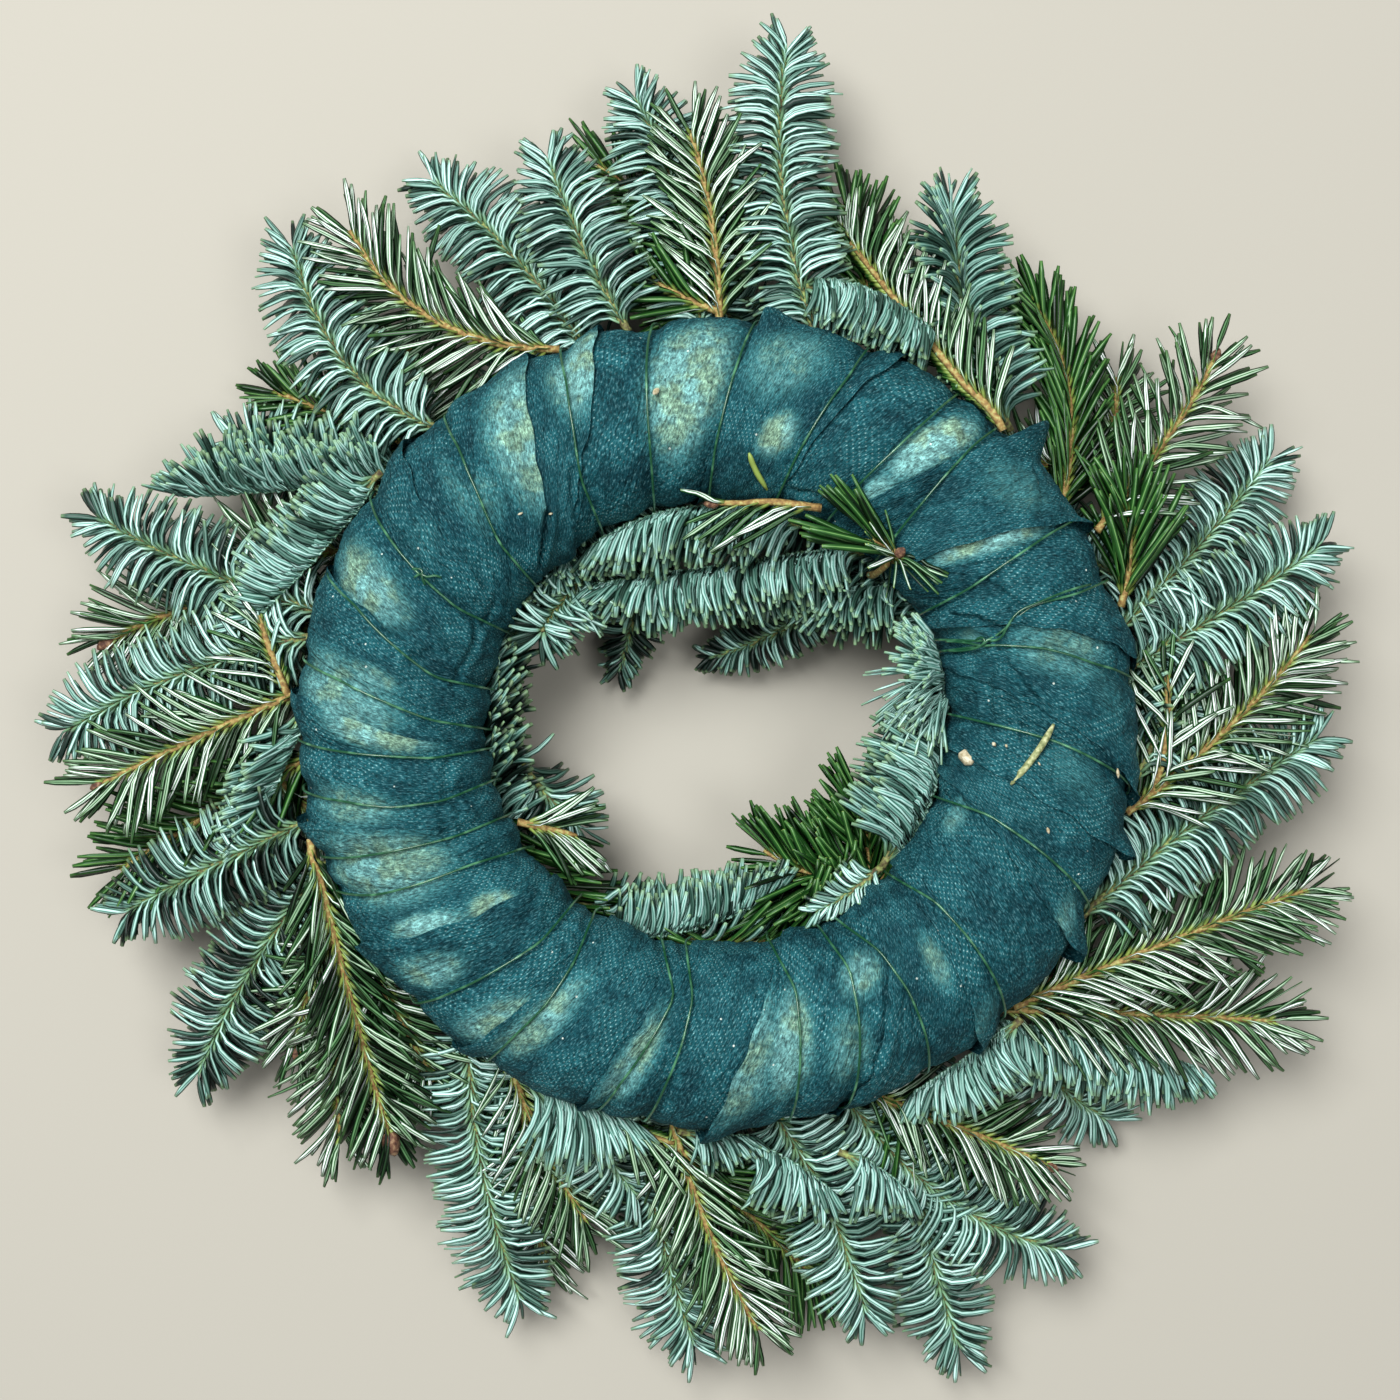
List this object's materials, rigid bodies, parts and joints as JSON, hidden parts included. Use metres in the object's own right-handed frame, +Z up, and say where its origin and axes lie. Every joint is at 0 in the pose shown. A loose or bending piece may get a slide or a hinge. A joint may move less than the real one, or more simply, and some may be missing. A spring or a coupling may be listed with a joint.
{
  "type": "fresh evergreen wreath",
  "caption": "Round wreath of fir sprays wired onto a straw ring wrapped in fleece, lying face down with its wrapped back up and a round hole in the middle.",
  "frame": {"origin": "on the surface that the wreath lies on, under the middle of its outline", "axes": "+Z up from that surface and out of the wrapped back; +Y to the top of the view from above"},
  "size_m": [0.4174, 0.4373, 0.0869],
  "materials": {
    "straw": "bound straw, wholly wrapped",
    "fleece": "spunbond fleece strip, dark teal, dot embossed, worn paler on its folds",
    "wire": "soft iron florist wire, dark green lacquer",
    "noble_fir": "fresh blue-green needles with a waxy bloom",
    "nordmann_fir": "fresh needles, glossy green above and two white stripes below"
  },
  "bodies": {
    "root": {"binding_wire": "wire", "fleece_band": "fleece", "noble_spray_01": "noble_fir", "noble_spray_03": "noble_fir", "noble_spray_04": "noble_fir", "noble_spray_05": "noble_fir", "noble_spray_07": "noble_fir", "noble_spray_09": "noble_fir", "noble_spray_13": "noble_fir", "noble_spray_14": "noble_fir", "noble_spray_15": "noble_fir", "noble_spray_17": "noble_fir", "noble_spray_21": "noble_fir", "noble_spray_22": "noble_fir", "noble_spray_24": "noble_fir", "noble_spray_25": "noble_fir", "noble_spray_27": "noble_fir", "noble_spray_28": "noble_fir", "noble_spray_30": "noble_fir", "noble_spray_32": "noble_fir", "noble_spray_33": "noble_fir", "noble_spray_36": "noble_fir", "noble_spray_37": "noble_fir", "noble_spray_39": "noble_fir", "noble_spray_40": "noble_fir", "noble_spray_42": "noble_fir", "noble_spray_44": "noble_fir", "noble_spray_45": "noble_fir", "noble_spray_47": "noble_fir", "noble_spray_48": "noble_fir", "noble_spray_49": "noble_fir", "noble_spray_50": "noble_fir", "noble_spray_52": "noble_fir", "noble_spray_55": "noble_fir", "noble_spray_56": "noble_fir", "nordmann_spray_02": "nordmann_fir", "nordmann_spray_06": "nordmann_fir", "nordmann_spray_08": "nordmann_fir", "nordmann_spray_10": "nordmann_fir", "nordmann_spray_11": "nordmann_fir", "nordmann_spray_12": "nordmann_fir", "nordmann_spray_16": "nordmann_fir", "nordmann_spray_18": "nordmann_fir", "nordmann_spray_19": "nordmann_fir", "nordmann_spray_20": "nordmann_fir", "nordmann_spray_23": "nordmann_fir", "nordmann_spray_26": "nordmann_fir", "nordmann_spray_29": "nordmann_fir", "nordmann_spray_31": "nordmann_fir", "nordmann_spray_34": "nordmann_fir", "nordmann_spray_35": "nordmann_fir", "nordmann_spray_38": "nordmann_fir", "nordmann_spray_41": "nordmann_fir", "nordmann_spray_43": "nordmann_fir", "nordmann_spray_46": "nordmann_fir", "nordmann_spray_51": "nordmann_fir", "nordmann_spray_53": "nordmann_fir", "nordmann_spray_54": "nordmann_fir", "straw_ring": "straw"}
  },
  "joints": []
}
